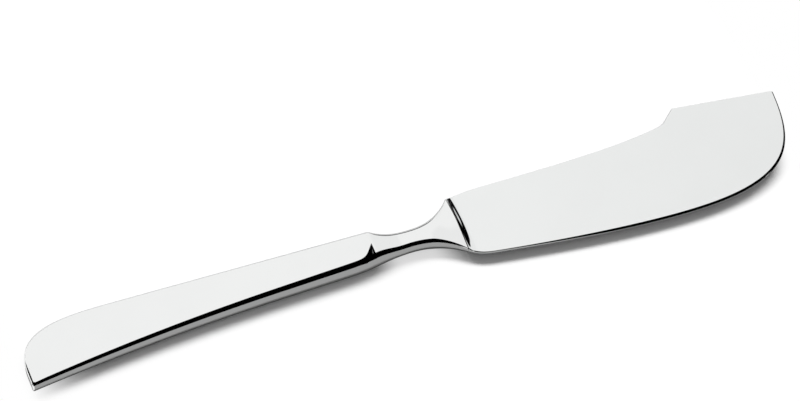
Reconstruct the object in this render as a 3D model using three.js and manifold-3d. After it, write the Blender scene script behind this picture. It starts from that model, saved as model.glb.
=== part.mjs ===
// A parmesan knife with a hollow steel handle: a wide notched blade, a forged neck and two pressed shells.
// Millimetres. +X runs from the butt to the tip, +Y towards the spine and +Z up.
// The pieces are drawn with the butt at x = 0 and the mid-plane at z = 0, then set on the lowest point.

import * as THREE from "three";
import { mergeVertices } from "three/addons/utils/BufferGeometryUtils.js";
import Module from "manifold-3d";

const wasm = await Module();
wasm.setup();
const { degToRad, lerp, mapLinear, clamp, smoothstep } = THREE.MathUtils;

// Lengths along the knife
const HANDLE_LENGTH = 89.3; // butt to the joint with the neck
const NECK_LENGTH = 21.9; // joint to the blade's shoulder
const BLADE_LENGTH = 88.7; // shoulder to the tip

// Handle, seen from above: distances from the centre line
const BUTT_EDGE = 8.93; // sharp corner of the butt, on the edge side
const BUTT_SPINE = 8.7; // spine side, carried on to the butt
const BUTT_FOOT = 4.7; // edge side's end of the round at the butt
const BUTT_ROUND = 25.6; // how far that round runs along the spine side
const FLARE_LENGTH = 64; // how far the edge side flares from the butt
const GRIP_EDGE = 5.56; // edge side along the grip
const GRIP_SPINE = 4.02; // spine side at the joint

// Handle, seen from the side
const BUTT_THICKNESS = 3.5;
const CREST_THICKNESS = 6;
const SIDE_ANGLE = 50; // degrees of barrel round between the mid-plane and each broad face
const NOSE_LENGTH = 5; // run over which the edge side of the broad face closes in to its point on the crest
const NOSE_SLOPE = 0.42; // share of that closing gained over each millimetre as it reaches the point
const NOSE_FOOT = 0.62; // share of the height below which the nose leaves the barrel side alone

// Neck
const SWEEP_BACK = 7.3; // from the joint back to the start of the edge side's sweep
const SWEEP_FRONT = 8.6; // from the joint on to the end of that sweep
const WAIST_EDGE = 4.4;
const WAIST_SPINE = 1.16;
const WAIST_RUN = 10.9; // joint to the waist, on the spine side
const CORNER_RUN = 1.3; // rounded corner just past the joint, on the spine side
const CORNER_DROP = 0.55;
const CORNER_SLOPE = 0.62; // fall of the spine side as it leaves that corner
const NECK_THICKNESS = 4.3; // from the waist to the collar
const NECK_FALL = 7.3; // run from the joint over which the crest's thickness falls to the neck's
const COLLAR_THICKNESS = 5.2; // at the shoulder
const COLLAR_RUN = 5; // run before the shoulder over which the neck thickens to the collar
const CROWN_RUN = 0.3; // run before the step over which the neck's flat face begins to turn into its crown
const CROWN_FULLNESS = 3; // how flat the crown stays before it falls to its sides

// Shoulder, where the blade is seated
const SHOULDER_EDGE = 9.5;
const SHOULDER_SPINE = 6.4;
const SHOULDER_SLOPE = 0.84; // spread of the edge side at the shoulder
const SPREAD_SLOPE = 1.25; // and of the spine side
const STEP_ROUND = 0.7; // run of the round at the top of the step
const STEP_FILLET = 1.5; // run of the hollow at its foot

// Blade, seen from above
const HEEL_RUN = 6.2; // shoulder to the heel
const HEEL_DEPTH = 12.25;
const BELLY_SLOPE = 0.185; // fall of the edge as it leaves the heel
const BELLY_FROM_TIP = 30.3;
const BELLY_DEPTH = 18.58;
const TIP_RISE = 7.35;
const TIP_SLOPE = 13.8; // rise of the edge as it reaches the tip
const NOTCH_FROM_TIP = 25.8;
const NOTCH_RISE = 11.45;
const NOTCH_RUN = 5.9; // foot of the notch to its top
const NOTCH_FOOT = 7.4;
const NOTCH_SLOPE = 0.9; // rise of the notch's straight wall
const NOTCH_HOLLOW = 2.4; // run of the hollow at its foot
const NOTCH_APPROACH = 0.16; // rise of the spine as it reaches the foot
const SPINE_RISE = 0.16; // rise of the spine as it leaves the shoulder
const SPINE_CREST_RUN = 9.7; // shoulder to the spine's crest
const SPINE_CREST = 6.75;
const SPINE_FALL = 0.035; // fall of the spine past its crest

// Blade, seen from the tip
const SPINE_THICKNESS = 1.5;
const EDGE_THICKNESS = 0.95; // behind the bevel at the belly
const RIM_RUN = 6; // run from the shoulder over which the neck's barrel sides turn into the blade's own
const GRIND_RUN = 46; // run from the shoulder over which the bevel comes in
const GRIND_ANGLE = 35; // degrees between the bevel and the blade's mid-plane along the belly
const TIP_GRIND_ANGLE = 70; // and at the tip
const TIP_GRIND_RUN = 22; // distance below the tip over which the bevel grows steeper
const CUTTING_EDGE = 0.2; // left across the edge by the last grind
const EDGE_BREAK = 0.1; // small chamfer along the spine

// Fullness of each curve: shares of its run that keep to the direction it leaves in and the one it arrives in
const BUTT_FULLNESS = [1.08, 0.52];
const FLARE_FULLNESS = [0.52, 0.2];
const NOSE_FULLNESS = [0.5, 0.42];
const CORNER_FULLNESS = [0.36, 0.31];
const WAIST_FULLNESS = [0.25, 0.5];
const SPREAD_FULLNESS = [0.29, 0.32];
const HEEL_FULLNESS = [0.27, 0.54];
const BELLY_FULLNESS = [0.33, 0.3];
const TIP_FULLNESS = [0.835, 0.037];
const CREST_FULLNESS = [0.22, 0.4];
const BOW_FULLNESS = [0.42, 0.24];
const HOLLOW_FULLNESS = [0.45, 0.25];

// Hidden joints
const SHELL_WALL = 0.8;
const SEAM_BRAZE = 0.2;
const MOUTH_BRAZE = 0.2;
const SHOULDER_BRAZE = 0.15;
const SPIGOT_LENGTH = 8;
const SPIGOT_CLEARANCE = 0.1;
const TONGUE_LENGTH = 8; // run over which the tongue narrows to the tang
const TONGUE_WIDTH = 7;
const TANG_THICKNESS = 1.1;
const TANG_WIDTH = 2.6;
const TANG_REACH = 45; // from the joint back into the handle
const TANG_OFFSET = 1.2; // tang's own centre line, towards the edge
const TANG_KEYS = 3; // pairs of notches that key the tang into the filler
const KEY_DEPTH = 0.5;
const KEY_LENGTH = 3;
const SLOT_CLEARANCE = 0.1;
const FILLER_CLEARANCE = 0.15;
const CUT_MARGIN = 1; // how far a cutter reaches past the face that it opens

// How finely round forms are drawn
const CURVE_STEPS = 16;
const READING_STEPS = 64; // points to a curve where y is read off an outline
const SIDE_STEPS = 5;
const CROWN_STEPS = 10;
const NOSE_STEPS = 10;
const GRIP_STEPS = 5;
const FLARE_STEPS = 10;
const BUTT_STEPS = 12;
const NECK_STEPS = 26;
const CROWN_STATIONS = 5;
const STEP_STEPS = 6;

const xJoint = HANDLE_LENGTH;
const xShoulder = xJoint + NECK_LENGTH;
const xTip = xShoulder + BLADE_LENGTH;
const xMouth = xJoint - MOUTH_BRAZE;
const xSpigot = xJoint - SPIGOT_LENGTH;
const spineSlope = (GRIP_SPINE - BUTT_SPINE) / HANDLE_LENGTH;

// Outlines seen from above, each running forward along x

// Carries an outline on to a point, leaving at one slope and arriving at another
function bow(path, x, y, leaving, arriving, [leave, arrive]) {
  const from = path.currentPoint;
  const first = (x - from.x) * leave;
  const last = (x - from.x) * arrive;
  path.bezierCurveTo(from.x + first, from.y + first * leaving, x - last, y - last * arriving, x, y);
}

function handleEdgeOutline() {
  const path = new THREE.Path();
  const sweepEnd = xJoint + SWEEP_FRONT;
  path.moveTo(0, -BUTT_EDGE);
  path.quadraticCurveTo(FLARE_LENGTH / 2, -GRIP_EDGE, FLARE_LENGTH, -GRIP_EDGE);
  path.lineTo(xJoint - SWEEP_BACK, -GRIP_EDGE);
  path.bezierCurveTo(xJoint, -GRIP_EDGE, xJoint, -WAIST_EDGE, sweepEnd, -WAIST_EDGE);
  bow(path, xShoulder, -SHOULDER_EDGE, 0, -SHOULDER_SLOPE, FLARE_FULLNESS);
  return path;
}

function handleSpineOutline() {
  const path = new THREE.Path();
  path.moveTo(0, BUTT_SPINE);
  path.lineTo(xJoint, GRIP_SPINE);
  bow(path, xJoint + CORNER_RUN, GRIP_SPINE - CORNER_DROP, spineSlope, -CORNER_SLOPE, CORNER_FULLNESS);
  bow(path, xJoint + WAIST_RUN, WAIST_SPINE, -CORNER_SLOPE, 0, WAIST_FULLNESS);
  bow(path, xShoulder, SHOULDER_SPINE, 0, SPREAD_SLOPE, SPREAD_FULLNESS);
  return path;
}

function bladeEdgeOutline() {
  const path = new THREE.Path();
  path.moveTo(xShoulder, -SHOULDER_EDGE);
  bow(path, xShoulder + HEEL_RUN, -HEEL_DEPTH, -SHOULDER_SLOPE, -BELLY_SLOPE, HEEL_FULLNESS);
  bow(path, xTip - BELLY_FROM_TIP, -BELLY_DEPTH, -BELLY_SLOPE, 0, BELLY_FULLNESS);
  bow(path, xTip, TIP_RISE, 0, TIP_SLOPE, TIP_FULLNESS);
  return path;
}

function bladeSpineOutline() {
  const path = new THREE.Path();
  const xNotch = xTip - NOTCH_FROM_TIP;
  const xFoot = xNotch - NOTCH_RUN;
  const wallRun = NOTCH_RUN - NOTCH_HOLLOW;
  path.moveTo(xShoulder, SHOULDER_SPINE);
  bow(path, xShoulder + SPINE_CREST_RUN, SPINE_CREST, SPINE_RISE, -SPINE_FALL, CREST_FULLNESS);
  bow(path, xFoot, NOTCH_FOOT, -SPINE_FALL, NOTCH_APPROACH, BOW_FULLNESS);
  const wallFoot = NOTCH_RISE - wallRun * NOTCH_SLOPE;
  bow(path, xNotch - wallRun, wallFoot, NOTCH_APPROACH, NOTCH_SLOPE, HOLLOW_FULLNESS);
  path.lineTo(xNotch, NOTCH_RISE);
  path.lineTo(xTip, TIP_RISE);
  return path;
}

// y along an outline, as a function of x
function across(path) {
  const points = path.getPoints(READING_STEPS);
  return (x) => {
    const after = points.findIndex((point, i) => i > 0 && point.x >= x);
    const i = after < 0 ? points.length - 1 : after;
    return mapLinear(x, points[i - 1].x, points[i].x, points[i - 1].y, points[i].y);
  };
}

const handleEdge = across(handleEdgeOutline());
const handleSpine = across(handleSpineOutline());
const bladeEdge = across(bladeEdgeOutline());
const bladeSpine = across(bladeSpineOutline());
const edgeAt = (x) => (x <= xShoulder ? handleEdge(x) : bladeEdge(x));
const spineAt = (x) => (x <= xShoulder ? handleSpine(x) : bladeSpine(x));

// Solids from closed rings of points

const fromAbove = (v) => new THREE.Vector2(v.x, v.y);
const fromTip = (v) => new THREE.Vector2(v.y, v.z);

// Triangles that fill a ring whose two sides each run forward along the view's first axis
function fillRing(ring, view) {
  const flat = ring.map(view);
  const count = flat.length;
  const order = [...flat.keys()].sort((a, b) => flat[a].x - flat[b].x);
  const first = order[0];
  const last = order[count - 1];
  const chain = (step) => {
    const list = [first];
    while (list.at(-1) !== last) list.push((list.at(-1) + step + count) % count);
    return list;
  };
  const ahead = chain(1);
  const behind = chain(-1);
  const triangles = [];
  let i = 0;
  let j = 0;
  while (i < ahead.length - 1 || j < behind.length - 1) {
    const stepAhead = j === behind.length - 1
      || (i < ahead.length - 1 && flat[ahead[i + 1]].x <= flat[behind[j + 1]].x);
    const next = stepAhead ? ahead[i + 1] : behind[j + 1];
    if (ahead[i] !== behind[j] && next !== ahead[i] && next !== behind[j]) {
      triangles.push([ahead[i], next, behind[j]]);
    }
    if (stepAhead) i += 1;
    else j += 1;
  }
  return triangles;
}

// A closed skin over a stack of rings, with its first and last ring filled
function skin(rings, view) {
  const count = rings[0].length;
  const index = [];
  const turned = THREE.ShapeUtils.isClockWise(rings[0].map(view));
  const face = (a, b, c) => (turned ? index.push(a, c, b) : index.push(a, b, c));
  for (let k = 0; k < rings.length - 1; k += 1) {
    for (let i = 0; i < count; i += 1) {
      const a = k * count + i;
      const b = k * count + ((i + 1) % count);
      face(a, b, b + count);
      face(a, b + count, a + count);
    }
  }
  const top = (rings.length - 1) * count;
  fillRing(rings[0], view).forEach(([a, b, c]) => face(c, b, a));
  fillRing(rings.at(-1), view).forEach(([a, b, c]) => face(top + a, top + b, top + c));
  const geometry = new THREE.BufferGeometry().setFromPoints(rings.flat());
  geometry.setIndex(index);
  return geometry;
}

function solid(geometry) {
  const bare = geometry.clone();
  bare.deleteAttribute("normal");
  bare.deleteAttribute("uv");
  const merged = mergeVertices(bare);
  return new wasm.Manifold(new wasm.Mesh({
    numProp: 3,
    vertProperties: new Float32Array(merged.attributes.position.array),
    triVerts: new Uint32Array(merged.index.array),
  }));
}

function geometryOf(manifold) {
  const mesh = manifold.getMesh();
  const geometry = new THREE.BufferGeometry();
  geometry.setAttribute("position", new THREE.BufferAttribute(new Float32Array(mesh.vertProperties), 3));
  geometry.setIndex(new THREE.BufferAttribute(new Uint32Array(mesh.triVerts), 1));
  return geometry;
}

// A ring from the two sides of its upper half, with the lower half mirrored
function mirrored(edgeRise, spineRise) {
  const upper = [...edgeRise, ...spineRise.toReversed()];
  const lower = upper.slice(1, -1).reverse().map((v) => new THREE.Vector3(v.x, v.y, -v.z));
  return [...upper, ...lower];
}

function stationsBetween(from, to, steps) {
  return Array.from({ length: steps + 1 }, (_, i) => lerp(from, to, i / steps));
}

// The handle's form: barrel sides and two broad flat faces, each cut to a point on the crest

const sideAngle = degToRad(SIDE_ANGLE);
const sideInset = Math.tan(sideAngle / 2); // run of the barrel side for each unit of its height
const gripThickness = (x) => mapLinear(x, 0, xJoint, BUTT_THICKNESS, CREST_THICKNESS);
const nosePoint = (edgeAt(xJoint) + spineAt(xJoint)) / 2;

// How far the nose has closed in: 0 behind it and 1 at its point
function noseLine() {
  const path = new THREE.Path();
  path.moveTo(xJoint - NOSE_LENGTH, 0);
  bow(path, xJoint, 1, 0, NOSE_SLOPE, NOSE_FULLNESS);
  return across(path);
}

const noseShare = noseLine();

// Steps up the side from the mid-plane to the broad face: shares of the height, the run and the nose's run
const sideSteps = stationsBetween(0, sideAngle, SIDE_STEPS).map((angle) => {
  const height = Math.sin(angle) / Math.sin(sideAngle);
  const run = (1 - Math.cos(angle)) / (1 - Math.cos(sideAngle));
  return { height, run, nose: clamp((height - NOSE_FOOT) / (1 - NOSE_FOOT), 0, 1) };
});

// How far in from the outline a step lies, for a form drawn a wall's depth inside the outer one
function gripInset(step, x, y, wall) {
  const side = (gripThickness(x) / 2 - wall) * sideInset;
  const reach = Math.max(nosePoint - y - side - wall, 0);
  return wall + side * step.run + reach * Math.max(noseShare(x), 0) * step.nose;
}

// The butt's round, from its square end to the spine side
function buttRound() {
  const [leave, arrive] = BUTT_FULLNESS;
  const xArrive = BUTT_ROUND * (1 - arrive);
  return new THREE.CubicBezierCurve(
    new THREE.Vector2(0, -BUTT_FOOT),
    new THREE.Vector2(0, lerp(-BUTT_FOOT, spineAt(BUTT_ROUND), leave)),
    new THREE.Vector2(xArrive, spineAt(xArrive)),
    new THREE.Vector2(BUTT_ROUND, spineAt(BUTT_ROUND)),
  );
}

// Points round the handle's outline: from the mouth along the edge side, round the butt and along the spine
function gripRim() {
  const stations = [
    ...stationsBetween(xMouth, xJoint - NOSE_LENGTH, NOSE_STEPS),
    ...stationsBetween(xJoint - NOSE_LENGTH, FLARE_LENGTH, GRIP_STEPS).slice(1),
    ...stationsBetween(FLARE_LENGTH, 0, FLARE_STEPS).slice(1, -1),
  ];
  const rim = stations.map((x) => ({ at: new THREE.Vector2(x, edgeAt(x)), inward: new THREE.Vector2(0, 1) }));
  rim.push({ at: new THREE.Vector2(0, -BUTT_EDGE), inward: new THREE.Vector2(1, 1) });
  const round = buttRound();
  stationsBetween(0, 1, BUTT_STEPS).forEach((share) => {
    const along = round.getTangent(share);
    rim.push({ at: round.getPoint(share), inward: new THREE.Vector2(along.y, -along.x) });
  });
  const spine = stations.filter((x) => x > BUTT_ROUND + CUT_MARGIN).reverse();
  spine.forEach((x) => rim.push({ at: new THREE.Vector2(x, spineAt(x)), inward: new THREE.Vector2(0, -1) }));
  return rim;
}

const rim = gripRim();

function gripRing(step, wall) {
  return rim.map(({ at, inward }) => {
    const place = at.clone().addScaledVector(inward, gripInset(step, at.x, at.y, wall));
    return new THREE.Vector3(place.x, place.y, (gripThickness(place.x) / 2 - wall) * step.height);
  });
}

const levelled = (ring, z) => ring.map((v) => new THREE.Vector3(v.x, v.y, z));

// The upper half of the outer form, down to the seam
function gripHalf() {
  const rings = sideSteps.map((step) => gripRing(step, 0));
  return skin([levelled(rings[0], SEAM_BRAZE / 2), ...rings.slice(1)], fromAbove);
}

// Both halves of the form, a wall's depth inside the outer one
function gripCore(wall) {
  const upper = sideSteps.map((step) => gripRing(step, wall));
  const lower = upper.slice(1).map((ring) => ring.map((v) => new THREE.Vector3(v.x, v.y, -v.z)));
  return skin([...lower.reverse(), ...upper], fromAbove);
}

// The form cut square across at x, set at another place along the knife if one is given
function gripSection(x, wall, at = x) {
  const rise = (y, inward) => sideSteps.map((step) => new THREE.Vector3(
    at,
    y + inward * gripInset(step, x, y, wall),
    (gripThickness(x) / 2 - wall) * step.height,
  ));
  return mirrored(rise(edgeAt(x), 1), rise(spineAt(x), -1));
}

// A straight cutter with the form's section at x
function gripCutter(x, wall, from, to) {
  return solid(skin([gripSection(x, wall, from), gripSection(x, wall, to)], fromTip));
}

// The neck's form: barrel sides under a face that turns from flat to crowned and steps down to the blade

const bladeHalf = (y) => mapLinear(y, SPINE_CREST, -BELLY_DEPTH, SPINE_THICKNESS, EDGE_THICKNESS) / 2;
function neckHalf(x) {
  const even = lerp(CREST_THICKNESS, NECK_THICKNESS, smoothstep(x, xJoint, xJoint + NECK_FALL));
  const climb = Math.max((x - xShoulder) / COLLAR_RUN + 1, 0) ** 2;
  return (even + (COLLAR_THICKNESS - NECK_THICKNESS) * climb) / 2;
}

const xStepTop = xShoulder - STEP_ROUND;
const xStepFoot = xShoulder + STEP_FILLET;
const xCrown = xStepTop - CROWN_RUN;

// Share of the step's height that is left at x: a round over the top and a hollow at the foot
function stepShare(x) {
  const slope = 2 / (STEP_ROUND + STEP_FILLET);
  if (x <= xStepTop) return 1;
  if (x <= xShoulder) return 1 - (slope * (x - xStepTop) ** 2) / (2 * STEP_ROUND);
  return (slope * (xStepFoot - x) ** 2) / (2 * STEP_FILLET);
}

function neckSection(x) {
  const crown = smoothstep(x, xCrown, xShoulder);
  const rimHalf = (y) => lerp(neckHalf(x), bladeHalf(y), crown);
  const rise = (y, inward) => sideSteps.map((step) => new THREE.Vector3(
    x,
    y + inward * rimHalf(y) * sideInset * step.run,
    rimHalf(y) * step.height,
  ));
  const edgeRise = rise(edgeAt(x), 1);
  const spineRise = rise(spineAt(x), -1);
  const from = edgeRise.at(-1);
  const to = spineRise.at(-1);
  const face = stationsBetween(0, 1, CROWN_STEPS).slice(1, -1).map((share) => {
    const y = lerp(from.y, to.y, share);
    const level = lerp(from.z, to.z, share);
    const crest = level + (neckHalf(x) - level) * (1 - Math.abs(2 * share - 1) ** CROWN_FULLNESS);
    return new THREE.Vector3(x, y, crest - (crest - bladeHalf(y)) * (1 - stepShare(x)));
  });
  return mirrored([...edgeRise, ...face], spineRise);
}

const neckForm = (stations) => solid(skin(stations.map(neckSection), fromTip));

// The tongue and the tang behind it, seen from above, with a margin all round and notches in the tang
function tangPlate(xFront, xBack, margin, keys) {
  const narrow = TANG_WIDTH / 2 + margin;
  const wide = TONGUE_WIDTH / 2 + margin;
  const pitch = (TANG_REACH - SPIGOT_LENGTH) / (TANG_KEYS + 1);
  const halfKey = KEY_LENGTH / 2 - margin;
  const xNarrow = xShoulder - TONGUE_LENGTH - margin;
  const side = [[xFront, wide], [xShoulder - SHOULDER_BRAZE, wide], [xNarrow, narrow]];
  for (let i = keys; i >= 1; i -= 1) {
    const xKey = xJoint - TANG_REACH + pitch * i;
    side.push([xKey + halfKey, narrow], [xKey + halfKey, narrow - KEY_DEPTH]);
    side.push([xKey - halfKey, narrow - KEY_DEPTH], [xKey - halfKey, narrow]);
  }
  side.push([xBack, narrow]);
  const upper = side.map(([x, y]) => new THREE.Vector2(x, y - TANG_OFFSET));
  const lower = side.map(([x, y]) => new THREE.Vector2(x, -y - TANG_OFFSET)).reverse();
  const thickness = TANG_THICKNESS + 2 * margin;
  const shape = new THREE.Shape([...upper, ...lower]);
  const plate = new THREE.ExtrudeGeometry(shape, { depth: thickness, bevelEnabled: false });
  return solid(plate.translate(0, 0, -thickness / 2));
}

// The leaf's side at a point of its outline: half of what is left there and the run up to the broad face.
// At the shoulder it is as round as the neck's, then a bevel along the edge and a chamfer along the spine.
function bladeSide(point, onEdge) {
  const half = bladeHalf(point.y);
  const own = smoothstep(point.x, xShoulder, xShoulder + RIM_RUN);
  const ground = onEdge ? smoothstep(point.x, xShoulder, xShoulder + GRIND_RUN) : 0;
  const steeper = smoothstep(point.y, TIP_RISE - TIP_GRIND_RUN, TIP_RISE);
  const angle = degToRad(lerp(GRIND_ANGLE, TIP_GRIND_ANGLE, steeper));
  const ownHalf = lerp(half - EDGE_BREAK, CUTTING_EDGE / 2, ground);
  const ownRun = onEdge ? (half - ownHalf) / Math.tan(angle) : EDGE_BREAK;
  return { rimHalf: lerp(CUTTING_EDGE / 2, ownHalf, own), run: lerp(half * sideInset, ownRun, own) };
}

// The leaf: two flat faces and the sides between them
function bladeLeaf() {
  const edge = bladeEdgeOutline().getPoints(CURVE_STEPS);
  const spine = bladeSpineOutline().getPoints(CURVE_STEPS).slice(0, -1).reverse();
  const outline = [...edge, ...spine];
  const normal = (from, to) => new THREE.Vector2(from.y - to.y, to.x - from.x).normalize();
  const rows = outline.map((point, i) => {
    const before = normal(outline.at(i - 1), point);
    const after = normal(point, outline[(i + 1) % outline.length]);
    const inward = before.clone().add(after).divideScalar(1 + before.dot(after));
    return { point, inward, ...bladeSide(point, i < edge.length) };
  });
  const faceRing = (side) => rows.map(({ point, inward, run }) => {
    const place = point.clone().addScaledVector(inward, run);
    return new THREE.Vector3(place.x, place.y, side * bladeHalf(place.y));
  });
  const rimRing = (side) => rows.map(({ point, rimHalf }) => (
    new THREE.Vector3(point.x, point.y, side * rimHalf)
  ));
  return solid(skin([faceRing(-1), rimRing(-1), rimRing(1), faceRing(1)], fromAbove));
}

// Pieces

function blade() {
  const collar = neckForm(stationsBetween(xShoulder, xStepFoot, STEP_STEPS));
  const tang = tangPlate(xStepFoot, xJoint - TANG_REACH, 0, TANG_KEYS);
  return bladeLeaf().add(collar).add(tang);
}

const tangPassage = () => tangPlate(xShoulder + CUT_MARGIN, xSpigot - CUT_MARGIN, SLOT_CLEARANCE, 0);

function bolsterNeck() {
  const wall = SHELL_WALL + SPIGOT_CLEARANCE;
  const sections = stationsBetween(xSpigot, xJoint, NOSE_STEPS).map((x) => gripSection(x, wall));
  const spigot = solid(skin([...sections, gripSection(xJoint, wall, xJoint + CUT_MARGIN)], fromTip));
  const plain = stationsBetween(xJoint, xCrown, NECK_STEPS);
  const crowned = stationsBetween(xCrown, xShoulder - SHOULDER_BRAZE, CROWN_STATIONS).slice(1);
  const neck = neckForm([...plain, ...crowned]);
  return neck.add(spigot).subtract(tangPassage());
}

function shoulderBraze() {
  return neckForm([xShoulder - SHOULDER_BRAZE, xShoulder]).subtract(tangPassage());
}

// The hollow's mouth, cut through the ends of the shells and of the seam between them
const mouthCutter = () => gripCutter(xMouth, SHELL_WALL, xMouth - MOUTH_BRAZE, xJoint);

function handleShell() {
  return solid(gripHalf()).subtract(solid(gripCore(SHELL_WALL))).subtract(mouthCutter());
}

function handleSeamBraze() {
  const slab = (wall, half) => {
    const ring = gripRing(sideSteps[0], wall);
    return solid(skin([levelled(ring, -half), levelled(ring, half)], fromAbove));
  };
  return slab(0, SEAM_BRAZE / 2).subtract(slab(SHELL_WALL, SEAM_BRAZE)).subtract(mouthCutter());
}

function mouthBraze() {
  const ring = solid(skin([gripSection(xMouth, 0), gripSection(xJoint, 0)], fromTip));
  return ring.subtract(gripCutter(xJoint, SHELL_WALL, xMouth - CUT_MARGIN, xJoint + CUT_MARGIN));
}

function handleFiller() {
  const width = 2 * Math.max(BUTT_EDGE, BUTT_SPINE);
  const spigotSpace = new THREE.BoxGeometry(SPIGOT_LENGTH + FILLER_CLEARANCE, width, CREST_THICKNESS);
  spigotSpace.translate(xJoint - (SPIGOT_LENGTH + FILLER_CLEARANCE) / 2, 0, 0);
  const tang = tangPlate(xShoulder, xJoint - TANG_REACH - FILLER_CLEARANCE, FILLER_CLEARANCE, TANG_KEYS);
  return solid(gripCore(SHELL_WALL + FILLER_CLEARANCE)).subtract(solid(spigotSpace)).subtract(tang);
}

// Finishes

const polishedSteel = new THREE.MeshStandardMaterial({ color: 0xdfe1e0, roughness: 0.08, metalness: 1 });
const groundSteel = new THREE.MeshStandardMaterial({ color: 0xd9dbda, roughness: 0.1, metalness: 1 });
const silverBraze = new THREE.MeshStandardMaterial({ color: 0xd9d9d4, roughness: 0.25, metalness: 1 });
const cement = new THREE.MeshStandardMaterial({ color: 0xa89e91, roughness: 0.9, metalness: 0 });

const knife = new THREE.Group();
const middle = (NOTCH_RISE - BELLY_DEPTH) / 2;
knife.position.set(-xTip / 2, -middle, CREST_THICKNESS / 2);

function place(name, geometry, material) {
  const mesh = new THREE.Mesh(geometry, material);
  mesh.name = name;
  knife.add(mesh);
  return mesh;
}

const shell = geometryOf(handleShell());
place("blade", geometryOf(blade()), groundSteel);
place("bolster_neck", geometryOf(bolsterNeck()), polishedSteel);
place("shoulder_braze", geometryOf(shoulderBraze()), silverBraze);
place("upper_handle_shell", shell, polishedSteel);
place("lower_handle_shell", shell, polishedSteel).scale.z = -1;
place("handle_seam_braze", geometryOf(handleSeamBraze()), silverBraze);
place("mouth_braze", geometryOf(mouthBraze()), silverBraze);
place("handle_filler", geometryOf(handleFiller()), cement);

const part = new THREE.Group();
part.add(knife);

export default part;
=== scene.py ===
"""A parmesan knife of polished steel, lying on a white floor under a studio's soft light.

Sizes are in millimetres along the knife: x from the butt to the tip, y from the cutting edge to the spine with
the handle's centre line at 0, z up from the mid-plane. place() turns them into metres in the part's own frame.
"""

import bmesh
import bpy
import numpy as np
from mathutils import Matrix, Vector


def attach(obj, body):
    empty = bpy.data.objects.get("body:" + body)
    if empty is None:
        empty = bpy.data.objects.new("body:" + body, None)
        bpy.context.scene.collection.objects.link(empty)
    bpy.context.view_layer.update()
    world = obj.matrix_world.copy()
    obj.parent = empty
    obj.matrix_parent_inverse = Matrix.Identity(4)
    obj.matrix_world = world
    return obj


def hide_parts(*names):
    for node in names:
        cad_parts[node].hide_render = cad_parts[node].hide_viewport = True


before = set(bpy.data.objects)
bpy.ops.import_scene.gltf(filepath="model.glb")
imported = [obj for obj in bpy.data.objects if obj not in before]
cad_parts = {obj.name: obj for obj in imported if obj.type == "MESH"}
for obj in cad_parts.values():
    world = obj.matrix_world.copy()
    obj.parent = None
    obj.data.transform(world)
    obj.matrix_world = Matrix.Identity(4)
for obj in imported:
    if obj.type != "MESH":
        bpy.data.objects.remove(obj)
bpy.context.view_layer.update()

# Lengths along the knife
HANDLE_LENGTH = 89.3
NECK_LENGTH = 21.9
BLADE_LENGTH = 88.7
X_JOINT = HANDLE_LENGTH
X_SHOULDER = X_JOINT + NECK_LENGTH
X_TIP = X_SHOULDER + BLADE_LENGTH

# Handle
BUTT_EDGE = 8.93
BUTT_SPINE = 8.7
BUTT_FOOT = 4.7
BUTT_ROUND = 25.6
BUTT_FULLNESS = (1.08, 0.52)
BUTT_CORNER = 0.45
END_ROUND = 0.7
END_BLEND = 4.0
END_TURN = 0.5
FLARE_LENGTH = 64.0
GRIP_EDGE = 5.56
GRIP_SPINE = 4.02
BUTT_THICKNESS = 3.5
CREST_THICKNESS = 6.0
SIDE_ANGLE = np.radians(50)
CREASE_ROUND = 0.1
NOSE_LENGTH = 5.0
NOSE_SLOPE = 0.42
NOSE_FOOT = 0.62
NOSE_FULLNESS = (0.5, 0.42)
SHELL_WALL = 0.8
SEAM_BRAZE = 0.2
MOUTH_BRAZE = 0.2
X_MOUTH = X_JOINT - MOUTH_BRAZE

# Neck and shoulder
SWEEP_BACK = 7.3
SWEEP_FRONT = 8.6
WAIST_EDGE = 4.4
WAIST_SPINE = 1.16
WAIST_RUN = 10.9
CORNER_RUN = 1.3
CORNER_DROP = 0.55
CORNER_SLOPE = 0.62
CORNER_FULLNESS = (0.36, 0.31)
WAIST_FULLNESS = (0.25, 0.5)
NECK_THICKNESS = 4.3
NECK_FALL = 7.3
BACK_ROUND = 1.5
BACK_ROUND_START = 2.0
BACK_ROUND_FADE = 6.0
BACK_ROUND_END = 2.0
COLLAR_THICKNESS = 5.2
COLLAR_RUN = 5.0
CROWN_RUN = 1.0
CROWN_CREASE = 0.04
SPINE_RIM = 3.0
SPINE_REACH = 0.5
SPINE_REACH_POWER = 1.3
EDGE_RIM = 1.15
EDGE_FALL = 8.0
EDGE_FALL_POWER = 1.4
EDGE_REACH = 0.65
EDGE_REACH_POWER = 1.25
SHOULDER_EDGE = 9.5
SHOULDER_SPINE = 6.4
SHOULDER_SLOPE = 0.84
SHOULDER_FULLNESS = (0.52, 0.2)
SPREAD_SLOPE = 1.25
SPREAD_FULLNESS = (0.29, 0.32)
SHOULDER_BRAZE = 0.15
STEP_BACK = 0.2
STEP_ROUND = 1.0
STEP_FILLET = 1.2
X_STEP_TOP = X_SHOULDER - STEP_BACK
X_STEP = X_STEP_TOP + STEP_ROUND
X_STEP_FOOT = X_STEP + STEP_FILLET
X_CROWN = X_SHOULDER - CROWN_RUN

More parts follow.
